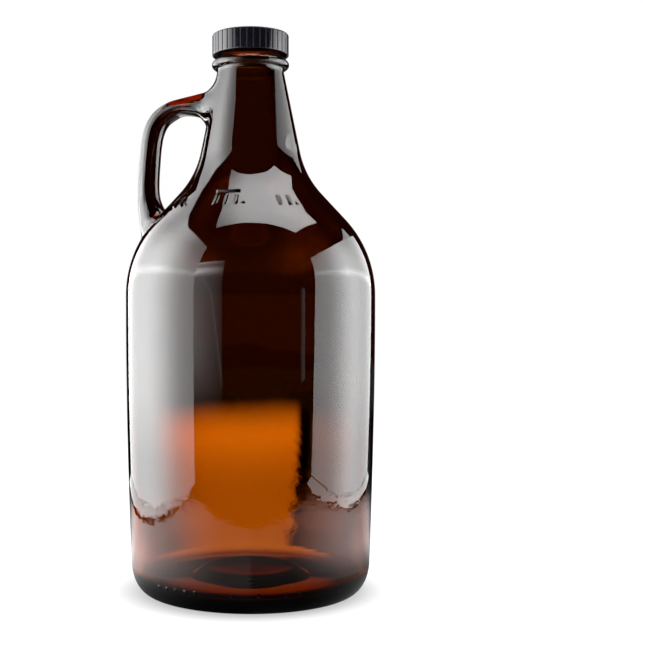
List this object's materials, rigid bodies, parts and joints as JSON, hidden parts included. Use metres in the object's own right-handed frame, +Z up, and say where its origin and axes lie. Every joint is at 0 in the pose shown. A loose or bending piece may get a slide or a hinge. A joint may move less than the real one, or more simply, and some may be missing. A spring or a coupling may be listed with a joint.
{
  "type": "growler",
  "caption": "Amber glass jug with a ring handle at its neck, closed by a black ribbed screw cap with a cone seal.",
  "frame": {"origin": "centre of the base, on the plane that the jug stands on", "axes": "+Z up along the jug's axis, ring handle on -X, marked face of the shoulder towards -Y"},
  "size_m": [0.1278, 0.1278, 0.285],
  "materials": {
    "amber_glass": "fire-polished clear amber",
    "black_plastic": "satin-gloss moulded",
    "white_seal": "waxy translucent white"
  },
  "bodies": {
    "jug": {"glass_jug": "amber_glass"},
    "seal": {"cone_seal": "white_seal"},
    "cap": {"cap_shell": "black_plastic"}
  },
  "joints": [
    {"name": "cap_lift", "type": "slide", "parent": "jug", "child": "seal", "axis": [0, 0, 1], "range_m": [0, 0.0127]},
    {"name": "cap_turn", "type": "hinge", "parent": "seal", "child": "cap", "pos_m": [0, 0, 0.28], "axis": [0, 0, 1], "range_deg": [0, 1080]}
  ],
  "couplings": [
    {"joint": "cap_lift", "follows": "cap_turn", "m_per_rad": 0.0006737}
  ]
}
